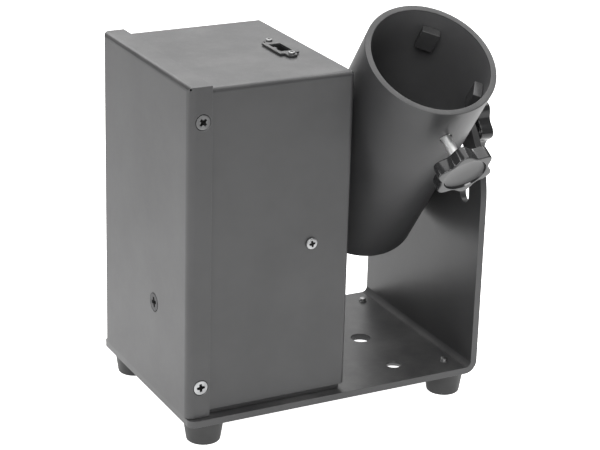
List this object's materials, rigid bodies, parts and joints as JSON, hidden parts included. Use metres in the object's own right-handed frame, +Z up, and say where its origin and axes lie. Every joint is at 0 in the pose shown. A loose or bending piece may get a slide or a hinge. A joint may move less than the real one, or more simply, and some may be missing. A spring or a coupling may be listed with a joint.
{
  "type": "confetti blower",
  "caption": "Electric confetti launcher: a dark sheet-metal control box and a tilting steel barrel on one bent bracket with rubber feet, set by star knobs.",
  "frame": {"origin": "on the floor, under the middle of the whole object as seen from above", "axes": "+X from the control box towards the upright that holds the barrel, +Y towards the side with the display and the sockets, +Z up"},
  "size_m": [0.1994, 0.177, 0.233],
  "materials": {
    "powder_coat": "fine textured dark grey powder coat",
    "zinc_steel": "bright zinc plated",
    "raw_steel": "zinc coated sheet, plain",
    "black_steel": "blackened steel",
    "rubber": "moulded, satin",
    "knob_plastic": "polished moulded plastic",
    "black_plastic": "fine moulded texture",
    "board": "green solder mask",
    "coil_tape": "wound polyester tape",
    "relay_case": "smooth moulded case",
    "window": "dark red tinted, clear"
  },
  "bodies": {
    "frame": {"base_bracket": "powder_coat", "front_panel": "powder_coat", "cover": "powder_coat", "chassis": "powder_coat", "port_plate": "powder_coat", "foot_screw_front_right": "zinc_steel", "foot_screw_front_left": "zinc_steel", "foot_screw_rear_right": "zinc_steel", "foot_screw_rear_left": "zinc_steel", "panel_screw_right_lower": "zinc_steel", "panel_screw_left_lower": "zinc_steel", "panel_screw_right_upper": "zinc_steel", "panel_screw_left_upper": "zinc_steel", "side_screw": "zinc_steel", "base_screw_front": "zinc_steel", "base_screw_rear": "zinc_steel", "transformer_nut": "zinc_steel", "port_screw_right": "zinc_steel", "port_screw_left": "zinc_steel", "transformer_dish": "raw_steel", "board_bracket": "raw_steel", "transformer_bolt": "black_steel", "foot_front_right": "rubber", "foot_front_left": "rubber", "foot_rear_right": "rubber", "foot_rear_left": "rubber", "transformer_pad": "rubber", "port_socket": "black_plastic", "data_input": "black_plastic", "data_output": "black_plastic", "mains_inlet": "black_plastic", "fuse_holder": "black_plastic", "trigger_socket": "black_plastic", "capacitor": "black_plastic", "main_board": "board", "display_board": "board", "transformer": "coil_tape", "relay": "relay_case", "display_window": "window"},
    "barrel": {"barrel_tube": "powder_coat", "barrel_base": "powder_coat", "guide_pad_1": "powder_coat", "guide_pad_2": "powder_coat", "guide_pad_3": "powder_coat", "pivot_bolt": "zinc_steel", "pivot_spacer": "zinc_steel", "pivot_nut": "zinc_steel", "tilt_nut": "zinc_steel"},
    "tilt_clamp": {"tilt_washer": "zinc_steel"},
    "tilt_knob": {"tilt_knob": "knob_plastic", "tilt_stud": "zinc_steel"},
    "clamp_pad": {"clamp_pad": "rubber"},
    "clamp_knob": {"clamp_knob": "knob_plastic", "clamp_stud": "zinc_steel"},
    "button_1": {"button_1": "black_plastic"},
    "button_2": {"button_2": "black_plastic"},
    "button_3": {"button_3": "black_plastic"},
    "button_4": {"button_4": "black_plastic"}
  },
  "joints": [
    {"name": "barrel_tilt", "type": "hinge", "parent": "frame", "child": "barrel", "pos_m": [0.04125, 0.0255, 0.1196], "axis": [1, 0, 0], "range_deg": [-36, 52]},
    {"name": "tilt_clamp_slide", "type": "slide", "parent": "barrel", "child": "tilt_clamp", "axis": [1, 0, 0], "range_m": [0, 0.00375]},
    {"name": "tilt_knob_turn", "type": "hinge", "parent": "tilt_clamp", "child": "tilt_knob", "pos_m": [0.09125, -0.00125, 0.15628], "axis": [1, 0, 0], "range_deg": [0, 1090]},
    {"name": "clamp_pad_slide", "type": "slide", "parent": "barrel", "child": "clamp_pad", "axis": [0.0244, -0.8077, -0.589], "range_m": [-0.008, 0.0036]},
    {"name": "clamp_knob_turn", "type": "hinge", "parent": "clamp_pad", "child": "clamp_knob", "pos_m": [0.04125, -0.02818, 0.19321], "axis": [0.0244, -0.8077, -0.589], "range_deg": [-2890, 1305]},
    {"name": "button_1_press", "type": "slide", "parent": "frame", "child": "button_1", "axis": [0, -1, 0], "range_m": [0, 0.001], "stiffness_N_per_m": 1500},
    {"name": "button_2_press", "type": "slide", "parent": "frame", "child": "button_2", "axis": [0, -1, 0], "range_m": [0, 0.001], "stiffness_N_per_m": 1500},
    {"name": "button_3_press", "type": "slide", "parent": "frame", "child": "button_3", "axis": [0, -1, 0], "range_m": [0, 0.001], "stiffness_N_per_m": 1500},
    {"name": "button_4_press", "type": "slide", "parent": "frame", "child": "button_4", "axis": [0, -1, 0], "range_m": [0, 0.001], "stiffness_N_per_m": 1500}
  ],
  "couplings": [
    {"joint": "tilt_knob_turn", "follows": "tilt_clamp_slide", "rad_per_m": 5026.5},
    {"joint": "clamp_knob_turn", "follows": "clamp_pad_slide", "rad_per_m": 6283.2}
  ]
}
